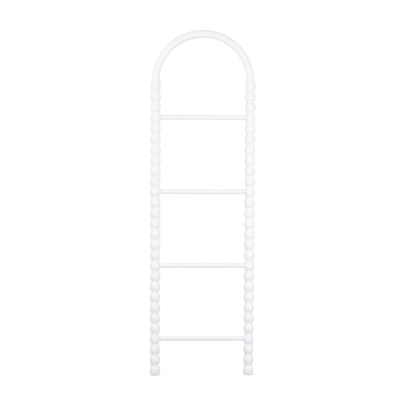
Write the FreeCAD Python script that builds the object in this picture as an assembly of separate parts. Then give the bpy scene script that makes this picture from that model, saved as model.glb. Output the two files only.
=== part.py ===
import FreeCAD, Part
import math
import os

# Towel ladder: two bobbin-turned legs, a bent arch standing on them and round rungs between them.
# Millimetres, +Z up, X across, the front faces -Y, the origin is on the floor midway between the feet.

# Turned legs
bead_count = 28              # beads on each leg
bead_pitch = 50.0            # length of a bead, from neck to neck
bead_diameter = 50.0         # thickest part of a bead
neck_diameter = 37.0         # thinnest part, between two beads
neck_rounding = 10.0         # radius at the bottom of a neck
top_end = 23.0               # from the thickest part of the last bead up to the flat top of a leg
foot_end = 20.5              # from the thickest part of the first bead down to the flat foot
end_taper = 3.5              # how much the leg's radius shrinks towards either end
end_rounding = 1.5           # of the rim of either end
leg_spacing = 445.0          # between the axes of the legs

# Bent arch
arch_diameter = 36.0         # thickness of the bar
arch_trim = 2.5              # sawn off each end of the half circle, level

# Rungs, named from the top down
rung_names = ("top", "upper", "lower", "bottom")
top_rung_bead = 4            # bead that holds the top rung, counted from the top
rung_bead_step = 7           # beads from one rung to the next
rung_rise = 2.5              # from the middle of its bead up to a rung's axis
rung_diameter = 22.0
rung_chamfer = 1.0
tenon_depth = 22.0           # rung hidden in a leg, measured from the crown of the bead

# Dowels that peg the arch to the legs
dowel_diameter = 12.0
dowel_depth = 30.0           # in the leg, and as much again in the arch
dowel_chamfer = 1.5

# Screws that draw the legs on to the rungs, under wooden plugs
screw_diameter = 4.5
screw_length = 45.0          # under the head
screw_point = 6.0            # length of the tapered point
screw_head_diameter = 9.0
screw_head_height = 3.0
recess_length = 4.5          # of each arm of the cross in the head, from end to end
recess_width = 1.0
recess_depth = 1.8
plug_diameter = 10.0
plug_depth = 8.0             # from the crown of the bead to the screw head

# Foot glides and the nails that hold them
glide_diameter = 22.0
glide_height = 2.5
glide_rounding = 1.0         # of the rim round the flat that stands on the floor
nail_diameter = 2.5
nail_length = 22.0           # under the head
nail_point = 4.0             # length of the tapered point
nail_head_diameter = 6.5
nail_head_height = 0.8
nail_recess = 0.5            # how far the nail head sits above the floor

# Fits
glue_gap = 0.1               # room all round a peg in its hole, and at the bottom of the hole

Vector = FreeCAD.Vector
UP = Vector(0, 0, 1)
ACROSS = Vector(1, 0, 0)
FRONT = Vector(0, -1, 0)
SIDES = {"left": -1, "right": 1}

# A bead is one arc of a circle, tangent to the small arcs at its two necks
half_pitch = bead_pitch / 2
bead_radius = bead_diameter / 2
neck_radius = neck_diameter / 2
neck_arc_centre = neck_radius + neck_rounding
neck_fall = bead_radius - neck_arc_centre
chord_square = neck_fall ** 2 + half_pitch ** 2 - neck_rounding ** 2
bead_arc_radius = chord_square / (2 * (neck_fall + neck_rounding))
bead_arc_centre = bead_radius - bead_arc_radius
bead_share = bead_arc_radius / (bead_arc_radius + neck_rounding)
tangent_radius = bead_arc_centre + (neck_arc_centre - bead_arc_centre) * bead_share
tangent_height = half_pitch * bead_share

# The first and the last bead bow less towards the flat ends of the leg
end_radius = bead_radius - end_taper
top_arc_radius = (end_taper ** 2 + top_end ** 2) / (2 * end_taper)
foot_arc_radius = (end_taper ** 2 + foot_end ** 2) / (2 * end_taper)

# Heights above the floor
sole_level = glide_height
bead_levels = [sole_level + foot_end + number * bead_pitch for number in range(bead_count)]
shoulder_level = bead_levels[-1] + top_end
arch_centre_level = shoulder_level - arch_trim

# Distances from the middle of the ladder, and how deep screws and nails go
leg_offset = leg_spacing / 2
arch_radius = arch_diameter / 2
rung_end = leg_offset - bead_radius + tenon_depth
screw_head_level = leg_offset + bead_radius - plug_depth
screw_seat = screw_head_level - screw_head_height
screw_in_rung = screw_length - (screw_seat - rung_end)
nail_in_leg = nail_length - (glide_height - nail_recess - nail_head_height)


def rung_bead_level(number):
    """Height of the bead that holds a rung, with the top rung as number 0."""
    beads_down = top_rung_bead - 1 + number * rung_bead_step
    return bead_levels[-1] - beads_down * bead_pitch


def rung_level(number):
    """Height of a rung's axis."""
    return rung_bead_level(number) + rung_rise


def arc(*points):
    """Arc edge through three (radius, height) points of a turning's outline."""
    return Part.Arc(*[Vector(radius, 0, height) for radius, height in points]).toShape()


def lines(*points):
    """Straight edges through (radius, height) points of a turning's outline."""
    corners = [Vector(radius, 0, height) for radius, height in points]
    return [Part.makeLine(one, other) for one, other in zip(corners, corners[1:])]


def turned(outline):
    """Solid turned about the Z axis from the edges of a closed outline."""
    return Part.Face(Part.Wire(outline)).revolve(Vector(), UP, 360)


def set_in(solid, start, direction):
    """A solid made on the Z axis, moved to start here and point this way."""
    solid.Placement = FreeCAD.Placement(start, FreeCAD.Rotation(UP, direction))
    return solid


def bore(diameter, depth, start, direction):
    """Drill cut for a peg of this size, with room for glue round it and at its end."""
    return Part.makeCylinder(diameter / 2 + glue_gap, depth + glue_gap, start, direction)


def rod(diameter, length, chamfer):
    """Round rod with both ends chamfered."""
    blank = Part.makeCylinder(diameter / 2, length)
    ends = [edge for edge in blank.Edges if isinstance(edge.Curve, Part.Circle)]
    return blank.makeChamfer(chamfer, ends)


def headed_pin(diameter, length, point, head_diameter, head_height):
    """Screw or nail that starts with its head and tapers to a point."""
    shank = diameter / 2
    head = head_diameter / 2
    tip = head_height + length
    head_cuts = (0, 0), (head, 0), (head, head_height), (shank, head_height)
    return turned(lines(*head_cuts, (shank, tip - point), (0, tip), (0, 0)))


def bow(level, arc_radius, low, high):
    """Arc of the outline of the bead at this level, between two heights measured from its thickest part."""
    centre = bead_radius - arc_radius
    heights = low, (low + high) / 2, high
    return arc(*[(centre + math.sqrt(arc_radius ** 2 - height ** 2), level + height) for height in heights])


def neck(level):
    """Outline of the neck under the bead at this level."""
    lower_end = tangent_radius, level - bead_pitch + tangent_height
    upper_end = tangent_radius, level - tangent_height
    return arc(lower_end, (neck_radius, level - half_pitch), upper_end)


def leg_blank():
    """Bobbin turning on the Z axis, before any hole is drilled in it."""
    first, *between, last = bead_levels
    outline = [bow(first, foot_arc_radius, -foot_end, 0), bow(first, bead_arc_radius, 0, tangent_height)]
    for level in between:
        outline += [neck(level), bow(level, bead_arc_radius, -tangent_height, tangent_height)]
    outline += [neck(last), bow(last, bead_arc_radius, -tangent_height, 0)]
    outline.append(bow(last, top_arc_radius, 0, top_end))
    top = end_radius, shoulder_level
    sole = end_radius, sole_level
    blank = turned(outline + lines(top, (0, shoulder_level), (0, sole_level), sole))
    flat_ends = [face for face in blank.Faces if isinstance(face.Surface, Part.Plane)]
    return blank.makeFillet(end_rounding, [edge for face in flat_ends for edge in face.Edges])


def bead_blank():
    """One bead on the Z axis, with its thickest part at the origin."""
    low = tangent_radius, -tangent_height
    high = tangent_radius, tangent_height
    closing = lines(high, (0, tangent_height), (0, -tangent_height), low)
    return turned([bow(0, bead_arc_radius, -tangent_height, tangent_height)] + closing)


def leg(side):
    """Turned leg with its rung mortises, screw holes, arch dowel hole and glide nail hole."""
    outward = ACROSS * side
    axis = outward * leg_offset
    holes = [bore(dowel_diameter, dowel_depth, axis + UP * shoulder_level, -UP)]
    holes.append(bore(nail_diameter, nail_in_leg, axis + UP * sole_level, UP))
    for number in range(len(rung_names)):
        level = UP * rung_level(number)
        mortise_end = level + outward * (rung_end + glue_gap)
        holes.append(bore(rung_diameter, bead_diameter, mortise_end, -outward))
        holes.append(bore(screw_diameter, bead_diameter, level + outward * rung_end, outward))
        holes.append(bore(plug_diameter, bead_diameter, level + outward * screw_seat, outward))
    blank = leg_blank()
    blank.translate(axis)
    return blank.cut(holes)


def top_arch():
    """Bar bent to a half circle, its ends sawn level and each drilled for a dowel."""
    centre = UP * arch_centre_level
    section = Part.Face(Part.Wire(Part.makeCircle(arch_radius, centre + ACROSS * leg_offset, UP)))
    bar = section.revolve(centre, FRONT, 180)
    sawn_off = Part.makeBox(2 * leg_spacing, arch_diameter, arch_trim)
    sawn_off.translate(centre - ACROSS * leg_spacing + FRONT * arch_radius)
    ends = [Vector(side * leg_offset, 0, shoulder_level) for side in SIDES.values()]
    return bar.cut([sawn_off] + [bore(dowel_diameter, dowel_depth, end, UP) for end in ends])


def rung(number):
    """Round rung with a screw hole in each end."""
    level = UP * rung_level(number)
    bar = set_in(rod(rung_diameter, 2 * rung_end, rung_chamfer), level - ACROSS * rung_end, ACROSS)
    ways_out = [ACROSS * side for side in SIDES.values()]
    return bar.cut([bore(screw_diameter, screw_in_rung, level + out * rung_end, -out) for out in ways_out])


def cross_recess():
    """The two arms of a driver recess, sunk into a head on the Z axis."""
    arm = Part.makeBox(recess_length, recess_width, recess_depth)
    arm.translate(Vector(-recess_length / 2, -recess_width / 2, 0))
    other_arm = arm.copy()
    other_arm.rotate(Vector(), UP, 90)
    return [arm, other_arm]


def rung_screw(number, side):
    """Wood screw driven through a leg into the end of a rung."""
    pin = headed_pin(screw_diameter, screw_length, screw_point, screw_head_diameter, screw_head_height)
    place = Vector(side * screw_head_level, 0, rung_level(number))
    return set_in(pin.cut(cross_recess()), place, ACROSS * -side)


def rung_plug(number, side):
    """Wooden plug over a screw head, sanded off along the bead."""
    start = Vector(side * screw_head_level, 0, rung_level(number))
    blank = Part.makeCylinder(plug_diameter / 2, bead_diameter, start, ACROSS * side)
    bead = bead_blank()
    bead.translate(Vector(side * leg_offset, 0, rung_bead_level(number)))
    return blank.common(bead)


def arch_dowel(side):
    """Glued peg between a leg and the arch."""
    start = Vector(side * leg_offset, 0, shoulder_level - dowel_depth)
    return set_in(rod(dowel_diameter, 2 * dowel_depth, dowel_chamfer), start, UP)


def foot_glide(side):
    """Moulded disc under a leg, with a rounded rim and a stepped hole for its nail."""
    place = ACROSS * (side * leg_offset)
    disc = Part.makeCylinder(glide_diameter / 2, glide_height, place, UP)
    rim = [edge for edge in disc.Edges if edge.BoundBox.ZMax < glide_height / 2]
    nail_hole = bore(nail_diameter, glide_height, place, UP)
    head_hole = bore(nail_head_diameter, nail_recess + nail_head_height - glue_gap, place, UP)
    return disc.makeFillet(glide_rounding, rim).cut([nail_hole, head_hole])


def glide_nail(side):
    """Nail through a glide into the leg, its head clear of the floor."""
    nail = headed_pin(nail_diameter, nail_length, nail_point, nail_head_diameter, nail_head_height)
    return set_in(nail, Vector(side * leg_offset, 0, nail_recess), UP)


def pair(make, number):
    """The left and the right one of a rung's two fixings, as separate solids."""
    return Part.makeCompound([make(number, side) for side in SIDES.values()])


pieces = {"top_arch": top_arch()}
for name, side in SIDES.items():
    pieces[name + "_leg"] = leg(side)
    pieces[name + "_arch_dowel"] = arch_dowel(side)
    pieces[name + "_foot_glide"] = foot_glide(side)
    pieces[name + "_glide_nail"] = glide_nail(side)
for number, name in enumerate(rung_names):
    pieces[name + "_rung"] = rung(number)
    pieces[name + "_rung_screws"] = pair(rung_screw, number)
    pieces[name + "_rung_plugs"] = pair(rung_plug, number)

os.makedirs("parts", exist_ok=True)
for name, shape in pieces.items():
    shape.exportStep("parts/" + name + ".step")
    print(name, len(shape.Solids), "solid(s)", round(shape.Volume / 1000, 2), "cm3")
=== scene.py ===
# %% [markdown]
# Bobbin towel ladder
#
# The ladder is painted beech: two legs turned as a row of beads, a bar bent to a half circle on top of
# them, and four plain rungs to hang towels on. Its shapes could be modelled here again, but the CAD part
# already has them exactly, so that is loaded as a fixed frame in metres. Blender's work is what the eye
# gets: paint, bare wood, plated steel and light. The box of the CAD part is measured straight away.

# %% Load the part
import math
import bpy
from mathutils import Matrix, Vector


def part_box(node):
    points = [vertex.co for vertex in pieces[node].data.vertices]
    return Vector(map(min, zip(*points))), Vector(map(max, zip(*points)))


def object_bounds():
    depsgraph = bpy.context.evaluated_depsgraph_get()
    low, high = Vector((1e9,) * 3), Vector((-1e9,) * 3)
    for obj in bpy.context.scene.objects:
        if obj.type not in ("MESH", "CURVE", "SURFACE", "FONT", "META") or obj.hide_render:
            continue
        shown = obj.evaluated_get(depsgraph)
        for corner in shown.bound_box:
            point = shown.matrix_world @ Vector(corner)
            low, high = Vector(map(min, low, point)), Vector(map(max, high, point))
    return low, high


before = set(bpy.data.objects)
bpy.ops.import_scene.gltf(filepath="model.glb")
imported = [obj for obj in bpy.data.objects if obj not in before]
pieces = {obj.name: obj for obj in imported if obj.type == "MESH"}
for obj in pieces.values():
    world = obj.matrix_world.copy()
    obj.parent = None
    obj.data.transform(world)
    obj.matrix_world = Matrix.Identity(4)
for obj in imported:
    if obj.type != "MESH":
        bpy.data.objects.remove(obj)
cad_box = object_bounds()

MM = 1000.0  # millimetres in a metre
size_mm = [round(MM * side) for side in cad_box[1] - cad_box[0]]
print(len(pieces), "pieces, the ladder measures", size_mm, "mm")

# %% [markdown]
# Colours
#
# Colours are written as sRGB hex values, as a paint chart or a screen gives them. Blender's shaders reckon
# in linear light, so one function turns the first into the second. Without it every colour comes out pale.


# %% From a hex value to linear light
def linear(hex_colour):
    """RGBA in linear light from an sRGB value such as #F4F5F7, by the curve of the sRGB standard."""
    parts = [int(hex_colour[start:start + 2], 16) / 255 for start in (1, 3, 5)]
    light = [part / 12.92 if part <= 0.04045 else ((part + 0.055) / 1.055) ** 2.4 for part in parts]
    return (*light, 1.0)


print("mid grey is", round(linear("#808080")[0], 3), "in linear light")

# %% [markdown]
# Nodes
#
# A material is a small graph of nodes. Building it in code takes three steps over and over: make a node,
# set its options, and give each input a number or a wire. One helper does all three for every kind of
# node, so a recipe below reads from its texture to its shader like a list of ingredients. An input goes
# by its name, or by its number where a node has several of one name, as the maths nodes and the colour
# mix do.


# %% One helper for every node
FACTOR, COLOUR_A, COLOUR_B, MIXED_COLOUR = 0, 6, 7, 2  # numbers of the colour mix's sockets


def add(tree, kind, inputs=None, **options):
    """New node with its options set, and each input set to a value or wired to another node's socket."""
    node = tree.nodes.new("ShaderNode" + kind)
    for option, value in options.items():
        setattr(node, option, value)
    for socket, value in (inputs or {}).items():
        if isinstance(value, bpy.types.NodeSocket):
            tree.links.new(value, node.inputs[socket])
        else:
            node.inputs[socket].default_value = value
    return node


def new_material(name):
    """Empty material and its tree of nodes."""
    material = bpy.data.materials.new(name)
    material.use_nodes = True
    material.node_tree.nodes.clear()
    return material, material.node_tree


print("helpers ready:", add.__name__, new_material.__name__)

# %% [markdown]
# Which way the grain runs
#
# Paint on wood is never quite flat: the grain stands up a little under it, along the length of the piece.
# A pattern can follow a piece by a UV map or by its place in space. The pieces here are straight or round
# about a known axis, so their places are enough. Each function below gives a point in millimetres, as
# two distances across the grain and one along it. In millimetres, every pattern can be sized from the
# real thing.

# %% Grain along the legs, the rungs and the arch
leg_low, leg_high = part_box("right_leg")
leg_axis_mm = MM * (leg_low.x + leg_high.x) / 2
arch_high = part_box("top_arch")[1]
arch_centre_mm = MM * (arch_high.z - arch_high.x)


def place_in_mm(tree):
    """Place of a point on the ladder, in millimetres. A leg's grain runs up it, so this serves a leg."""
    place = add(tree, "TexCoord").outputs["Object"]
    return add(tree, "VectorMath", {0: place, "Scale": MM}, operation="SCALE").outputs["Vector"]


def place_along_rung(tree):
    """A rung's grain runs along X, so X moves to the third place."""
    place = add(tree, "SeparateXYZ", {"Vector": place_in_mm(tree)}).outputs
    return add(tree, "CombineXYZ", {"X": place["Y"], "Y": place["Z"], "Z": place["X"]}).outputs["Vector"]


def place_along_arch(tree):
    """The arch's grain follows the bend: out from its centre, front to back, and round the half circle."""
    centre = (0, 0, arch_centre_mm)
    spread = add(tree, "VectorMath", {0: place_in_mm(tree), 1: centre}, operation="SUBTRACT")
    place = add(tree, "SeparateXYZ", {"Vector": spread.outputs["Vector"]}).outputs
    flat = add(tree, "CombineXYZ", {"X": place["X"], "Z": place["Z"]}).outputs["Vector"]
    outward = add(tree, "VectorMath", {0: flat}, operation="LENGTH").outputs["Value"]
    turn = add(tree, "Math", {0: place["Z"], 1: place["X"]}, operation="ARCTAN2").outputs["Value"]
    along = add(tree, "Math", {0: turn, 1: leg_axis_mm}, operation="MULTIPLY").outputs["Value"]
    return add(tree, "CombineXYZ", {"X": outward, "Y": place["Y"], "Z": along}).outputs["Vector"]


print("leg axes", round(leg_axis_mm, 1), "mm from the middle")
print("arch bent about a point", round(arch_centre_mm, 1), "mm up")

# %% [markdown]
# Satin white paint on beech
#
# The ladder is sprayed with a satin white: a cool white that is neither chalky nor glossy, so its
# highlights are soft. Sprayed paint dries with a faint unevenness like orange peel, and the beech grain
# lifts it in fine lines. Both could be displaced in the mesh, but they are too low to show in the outline,
# so a bump is enough. Orange peel is about 3 mm across and grain lines under 1 mm, and a pixel of the
# picture covers nearly 5 mm, so both are drawn three to five times as coarse as they are, in order to show
# at all. The coat is also a little thicker here and there, and slightly whiter where it is.

# %% The paint
PAINT = "#F3F4F6"
# whiter tint: a thicker coat in random clouds, and painted light in the necks of the legs
PAINT_THICK_AND_LIT_NECK = "#F4F5F7"
PAINT_IOR = 1.5
PEEL_MM = 9.0
PEEL_RELIEF_MM = 0.06
GRAIN_MM = (4.0, 4.0, 60.0)
GRAIN_RELIEF_MM = 0.03
CLOUD_MM = 45.0
THICK_CLOUDS = (0.5, 0.8)  # noise where the coat starts to thicken, and where it is thickest
SATIN = (0.36, 0.46)  # roughness in the hollows and on the tops of the orange peel


def satin_paint(name, grain_place, painted_neck_light=None):
    """Satin white spray paint over beech, its grain laid by grain_place, whiter where an optional mask
    paints light in.
    """
    paint, tree = new_material(name)
    place = grain_place(tree)
    squeeze = [1 / width for width in GRAIN_MM]
    fibre_place = add(tree, "VectorMath", {0: place, 1: squeeze}, operation="MULTIPLY").outputs["Vector"]
    fibres = add(tree, "TexNoise", {"Vector": fibre_place, "Scale": 1.0, "Detail": 2.0}).outputs["Fac"]
    peel = add(tree, "TexNoise", {"Vector": place, "Scale": 1 / PEEL_MM, "Detail": 1.0}).outputs["Fac"]
    cloud = add(tree, "TexNoise", {"Vector": place, "Scale": 1 / CLOUD_MM, "Detail": 3.0}).outputs["Fac"]
    lift = add(tree, "Math", {0: fibres, 1: GRAIN_RELIEF_MM}, operation="MULTIPLY").outputs["Value"]
    relief = add(tree, "Math", {0: peel, 1: PEEL_RELIEF_MM, 2: lift}, operation="MULTIPLY_ADD")
    bump = add(tree, "Bump", {"Height": relief.outputs["Value"], "Distance": 1 / MM}).outputs["Normal"]
    low, high = THICK_CLOUDS
    thickness_and_neck_light = add(tree, "MapRange", {"Value": cloud, "From Min": low, "From Max": high}).outputs["Result"]
    # the optional mask paints the paint whiter as painted light, lifting the shade in the necks
    if painted_neck_light:
        thickness_and_neck_light = add(tree, "Math", {0: thickness_and_neck_light, 1: painted_neck_light(tree)}, operation="MAXIMUM").outputs["Value"]
    coats_and_neck_light = {FACTOR: thickness_and_neck_light, COLOUR_A: linear(PAINT), COLOUR_B: linear(PAINT_THICK_AND_LIT_NECK)}
    tint = add(tree, "Mix", coats_and_neck_light, data_type="RGBA").outputs[MIXED_COLOUR]
    low, high = SATIN
    rough = add(tree, "MapRange", {"Value": peel, "To Min": low, "To Max": high}).outputs["Result"]
    wires = {"Base Color": tint, "Roughness": rough, "Normal": bump, "IOR": PAINT_IOR}
    shader = add(tree, "BsdfPrincipled", wires).outputs["BSDF"]
    add(tree, "OutputMaterial", {"Surface": shader})
    return paint


rung_paint = satin_paint("satin_paint_on_beech_rung", place_along_rung)
arch_paint = satin_paint("satin_paint_on_bent_beech", place_along_arch)
print("painted finishes:", rung_paint.name, arch_paint.name)

# %% [markdown]
# Painted light in the grooves of the legs
#
# The necks between the beads are painted a touch whiter than a bead: painted light, which lifts the shade
# that falls in the necks. The depth in a groove could be painted by hand on the mesh. A leg is round,
# so the distance from its axis already says it: small in a neck, and large on a bead.

# %% The paint of the legs, with painted light in the necks
NECK_RADIUS_MM = 18.5  # as the part is turned
bead_radius_mm = MM * (leg_high.y - leg_low.y) / 2


def depth_in_groove(tree):
    """From 0 on the crown of a bead to 1 at the bottom of a neck."""
    place = add(tree, "SeparateXYZ", {"Vector": place_in_mm(tree)}).outputs
    across = add(tree, "Math", {0: place["X"]}, operation="ABSOLUTE").outputs["Value"]
    beside = add(tree, "Math", {0: across, 1: leg_axis_mm}, operation="SUBTRACT").outputs["Value"]
    flat = add(tree, "CombineXYZ", {"X": beside, "Y": place["Y"]}).outputs["Vector"]
    radius = add(tree, "VectorMath", {0: flat}, operation="LENGTH").outputs["Value"]
    span = {"From Min": (NECK_RADIUS_MM + bead_radius_mm) / 2, "From Max": NECK_RADIUS_MM}
    return add(tree, "MapRange", {"Value": radius, **span}).outputs["Result"]


# the necks are painted whiter: painted light that lifts the shade in them
leg_paint = satin_paint("satin_paint_on_turned_beech", place_in_mm, depth_in_groove)
print("beads", round(2 * bead_radius_mm, 1), "mm thick, necks", 2 * NECK_RADIUS_MM, "mm")

# %% [markdown]
# Bare beech
#
# The dowels that peg the arch to the legs are never painted, because glue has to reach the wood. Beech is
# a pale pinkish brown with short darker flecks along the grain, about 0.4 mm wide and 3 mm long. Year
# rings could be added with a Wave texture, but a thin dowel hardly shows them. One noise, squeezed across
# the grain, gives the flecks and makes them duller and slightly lower. The dowels are hidden in the
# ladder, so the flecks keep their real size, for a close look at a dowel by itself.

# %% The bare wood
BEECH = "#D9B98F"
BEECH_FLECK = "#B58A5E"
BEECH_IOR = 1.5
BEECH_ROUGHNESS = (0.55, 0.7)
FLECK_MM = (0.4, 0.4, 3.0)
FLECK_EDGES = (0.5, 0.7)  # noise where a fleck starts, and where it is darkest
FLECK_RELIEF_MM = 0.02


def bare_beech(name):
    """Planed beech with its flecks, unfinished."""
    wood, tree = new_material(name)
    squeeze = [1 / width for width in FLECK_MM]
    place = add(tree, "VectorMath", {0: place_in_mm(tree), 1: squeeze}, operation="MULTIPLY")
    noise = {"Vector": place.outputs["Vector"], "Scale": 1.0, "Detail": 3.0}
    fleck = add(tree, "TexNoise", noise).outputs["Fac"]
    low, high = FLECK_EDGES
    dark = add(tree, "MapRange", {"Value": fleck, "From Min": low, "From Max": high}).outputs["Result"]
    woods = {FACTOR: dark, COLOUR_A: linear(BEECH), COLOUR_B: linear(BEECH_FLECK)}
    tint = add(tree, "Mix", woods, data_type="RGBA").outputs[MIXED_COLOUR]
    low, high = BEECH_ROUGHNESS
    rough = add(tree, "MapRange", {"Value": fleck, "To Min": low, "To Max": high}).outputs["Result"]
    bump = add(tree, "Bump", {"Height": dark, "Distance": -FLECK_RELIEF_MM / MM}).outputs["Normal"]
    wires = {"Base Color": tint, "Roughness": rough, "Normal": bump, "IOR": BEECH_IOR}
    shader = add(tree, "BsdfPrincipled", wires).outputs["BSDF"]
    add(tree, "OutputMaterial", {"Surface": shader})
    return wood


dowel_wood = bare_beech("planed_bare_beech")
print("bare wood:", dowel_wood.name)

# %% [markdown]
# Zinc-plated steel
#
# Screws and nails are formed cold from steel wire and plated with zinc in a drum, where they knock against
# each other. That leaves a bright bluish grey metal, cloudy over a few millimetres. The clouds could be a
# change of colour alone, but a metal shows almost only reflections, so they go into its roughness as well.
# The screws are hidden too, and of a nail only the head shows, from below, so the clouds keep their real
# size.

# %% The plated steel
ZINC = "#C6CACE"
ZINC_DULL = "#A9AEB3"
ZINC_CLOUD_MM = 2.0
ZINC_ROUGHNESS = (0.25, 0.45)


def zinc_plate(name):
    """Bright zinc plating on steel, clouded by tumbling."""
    metal, tree = new_material(name)
    noise = {"Vector": place_in_mm(tree), "Scale": 1 / ZINC_CLOUD_MM, "Detail": 2.0}
    cloud = add(tree, "TexNoise", noise).outputs["Fac"]
    platings = {FACTOR: cloud, COLOUR_A: linear(ZINC), COLOUR_B: linear(ZINC_DULL)}
    tint = add(tree, "Mix", platings, data_type="RGBA").outputs[MIXED_COLOUR]
    low, high = ZINC_ROUGHNESS
    rough = add(tree, "MapRange", {"Value": cloud, "To Min": low, "To Max": high}).outputs["Result"]
    wires = {"Base Color": tint, "Roughness": rough, "Metallic": 1.0}
    shader = add(tree, "BsdfPrincipled", wires).outputs["BSDF"]
    add(tree, "OutputMaterial", {"Surface": shader})
    return metal


fixing_steel = zinc_plate("zinc_plated_steel")
print("plated steel:", fixing_steel.name)

# %% [markdown]
# Moulded nylon
#
# The glides under the feet are moulded in natural white nylon, a milky and slightly warm plastic. The
# mould is spark-eroded, which leaves a fine matt texture about 0.3 mm across. Pits that small would take
# far too many faces to model, so a noise gives them as a bump, and a broader noise gives the darker and
# duller scuffs from the floor. A glide is half a pixel high in the picture and no texture shows there, so
# the pits keep their real size.

# %% The nylon
NYLON = "#EDEDE8"
NYLON_WORN = "#DCDCD5"
NYLON_IOR = 1.53
NYLON_ROUGHNESS = (0.4, 0.6)
MOULD_GRAIN_MM = 0.3
MOULD_RELIEF_MM = 0.01
SCUFF_MM = 6.0
SCUFF_EDGES = (0.5, 0.7)  # noise where a scuff starts, and where it is worst


def moulded_nylon(name):
    """Natural white nylon from a matt mould, scuffed in places by the floor."""
    nylon, tree = new_material(name)
    place = place_in_mm(tree)
    pits = add(tree, "TexNoise", {"Vector": place, "Scale": 1 / MOULD_GRAIN_MM}).outputs["Fac"]
    scuff = add(tree, "TexNoise", {"Vector": place, "Scale": 1 / SCUFF_MM, "Detail": 4.0}).outputs["Fac"]
    low, high = SCUFF_EDGES
    worn = add(tree, "MapRange", {"Value": scuff, "From Min": low, "From Max": high}).outputs["Result"]
    plastics = {FACTOR: worn, COLOUR_A: linear(NYLON), COLOUR_B: linear(NYLON_WORN)}
    tint = add(tree, "Mix", plastics, data_type="RGBA").outputs[MIXED_COLOUR]
    low, high = NYLON_ROUGHNESS
    rough = add(tree, "MapRange", {"Value": scuff, "To Min": low, "To Max": high}).outputs["Result"]
    bump = add(tree, "Bump", {"Height": pits, "Distance": MOULD_RELIEF_MM / MM}).outputs["Normal"]
    wires = {"Base Color": tint, "Roughness": rough, "Normal": bump, "IOR": NYLON_IOR}
    shader = add(tree, "BsdfPrincipled", wires).outputs["BSDF"]
    add(tree, "OutputMaterial", {"Surface": shader})
    return nylon


glide_nylon = moulded_nylon("moulded_white_nylon")
print("nylon:", glide_nylon.name)

# %% [markdown]
# Dressing the pieces
#
# Each CAD piece keeps its mesh and gets its finish in its material slot. The finishes could be given one by
# one, but the last word of a piece's name says what it is, so a short table takes every leg, rung or screw
# at once. Plugs are painted with their leg.

# %% Each piece gets its finish
finish_by_kind = {
    "leg": leg_paint,
    "plugs": leg_paint,
    "rung": rung_paint,
    "arch": arch_paint,
    "dowel": dowel_wood,
    "screws": fixing_steel,
    "nail": fixing_steel,
    "glide": glide_nylon,
}
for name, piece in pieces.items():
    kind = name.split("_")[-1]
    piece.material_slots[0].material = finish_by_kind[kind]
print("dressed", len(pieces), "pieces in", len(set(finish_by_kind.values())), "finishes")

# %% [markdown]
# Floor
#
# The photograph has a plain white ground. The floor is a pale round sheet under the ladder, which takes the
# soft shadow of the feet. More light could turn it white, but would wash out the ladder. So a steady glow
# is added to the floor for the eye alone: the camera and reflections see it, and it lights nothing. Where
# no shadow falls, the floor then looks as white as the space behind it.

# %% The floor
FLOOR = "#C8C9CC"
FLOOR_RADIUS = 2.0
FLOOR_SIDES = 96
FLOOR_GLOW = 0.52


def seen_directly(tree):
    """1 for rays from the camera or off something shiny or clear, and 0 for light that falls on things."""
    ray = add(tree, "LightPath").outputs
    straight, mirrored, through = ray["Is Camera Ray"], ray["Is Glossy Ray"], ray["Is Transmission Ray"]
    either = add(tree, "Math", {0: straight, 1: mirrored}, operation="MAXIMUM").outputs["Value"]
    return add(tree, "Math", {0: either, 1: through}, operation="MAXIMUM").outputs["Value"]


floor_finish, tree = new_material("pale_floor")
matt = add(tree, "BsdfDiffuse", {"Color": linear(FLOOR)}).outputs["BSDF"]
level = add(tree, "Math", {0: seen_directly(tree), 1: FLOOR_GLOW}, operation="MULTIPLY").outputs["Value"]
glow = add(tree, "Emission", {"Strength": level}).outputs["Emission"]
both = add(tree, "AddShader", {0: matt, 1: glow}).outputs["Shader"]
add(tree, "OutputMaterial", {"Surface": both})

bpy.ops.mesh.primitive_circle_add(
    vertices=FLOOR_SIDES, radius=FLOOR_RADIUS, fill_type="NGON", location=(0, 0, 0)
)
floor = bpy.context.object
floor.name = "floor"
floor.data.materials.append(floor_finish)
print("floor", 2 * FLOOR_RADIUS, "m across")

# %% [markdown]
# Studio light
#
# A white object on white needs light that is soft but not quite even, or its shape disappears. Most of it
# comes from all round, as between white walls. That alone leaves the necks and the undersides a little
# darker. A softbox far out on the left and one that stands low on the right then brighten the rims of the
# beads. A lamp's power could be found by trial. Here it is worked out from its share, the brightness of a
# white card that faces it at the ladder. Both lamps reach the ladder's front at a slant, and there they and
# the light from all round come to about 1, the level at which a colour renders as it is written.

# %% Light from all round
AMBIENT = 0.79

world = bpy.data.worlds.new("studio")
bpy.context.scene.world = world
world.use_nodes = True
sky_tree = world.node_tree
sky_tree.nodes.clear()
strength = {"Value": seen_directly(sky_tree), "To Min": AMBIENT, "To Max": 1.0}
level = add(sky_tree, "MapRange", strength).outputs["Result"]
sky = add(sky_tree, "Background", {"Strength": level, "Color": linear("#FFFFFF")}).outputs["Background"]
add(sky_tree, "OutputWorld", {"Surface": sky})
print("light from all round:", AMBIENT, "of full white")

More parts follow.
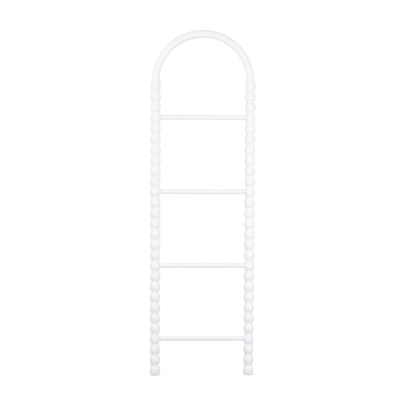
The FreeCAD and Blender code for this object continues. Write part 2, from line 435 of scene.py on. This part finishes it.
# %% Two softboxes
SOFTBOX_SIDE = 1.0
LEFT_PLACE = (-3.0, -2.2, 1.6)
LEFT_SHARE = 0.175
RIGHT_PLACE = (1.5, -2.2, 0.55)
RIGHT_SHARE = 0.225
ladder_middle = (cad_box[0] + cad_box[1]) / 2


def softbox(name, place, share):
    """Square lamp that lights a white card at the middle of the ladder to this share of full white."""
    lamp = bpy.data.lights.new(name, "AREA")
    lamp.shape = "SQUARE"
    lamp.size = SOFTBOX_SIDE
    throw = ladder_middle - Vector(place)
    lamp.energy = share * math.pi ** 2 * throw.length_squared
    holder = bpy.data.objects.new(name, lamp)
    holder.location = place
    holder.rotation_euler = throw.to_track_quat("-Z", "Y").to_euler()
    bpy.context.scene.collection.objects.link(holder)
    print(name, round(lamp.energy), "W")


softbox("left_light", LEFT_PLACE, LEFT_SHARE)
softbox("right_light", RIGHT_PLACE, RIGHT_SHARE)

# %% [markdown]
# Camera
#
# The photograph was taken from the front, from above the middle of the ladder and a little to the left,
# with a long lens: the beads shrink by only a few parts in a hundred from top to bottom. The place, the
# turn and the lens were worked out from the beads and rungs in it. A camera can be set by three Euler
# angles at once. Here it is turned in three steps, as a photographer would say them: turn to the right,
# tip down, and tilt.

# %% The camera
CAMERA_PLACE = (-0.3662, -8.0, 1.5243)
TURN_RIGHT = math.radians(2.807)
TIP_DOWN = math.radians(5.182)
TILT = math.radians(0.325)
LENS_MM = 147.4
LEVEL = math.radians(90)  # a new camera looks straight down, and this lifts its view

lens = bpy.data.cameras.new("camera")
lens.lens = LENS_MM
camera = bpy.data.objects.new("camera", lens)
turn = Matrix.Rotation(-TURN_RIGHT, 4, "Z")
tip = Matrix.Rotation(LEVEL - TIP_DOWN, 4, "X")
tilt = Matrix.Rotation(TILT, 4, "Z")
camera.matrix_world = Matrix.Translation(CAMERA_PLACE) @ turn @ tip @ tilt
bpy.context.scene.collection.objects.link(camera)
bpy.context.scene.camera = camera
bpy.context.scene.view_settings.view_transform = "Standard"
print("camera", round((ladder_middle - camera.location).length, 2), "m from the middle of the ladder")
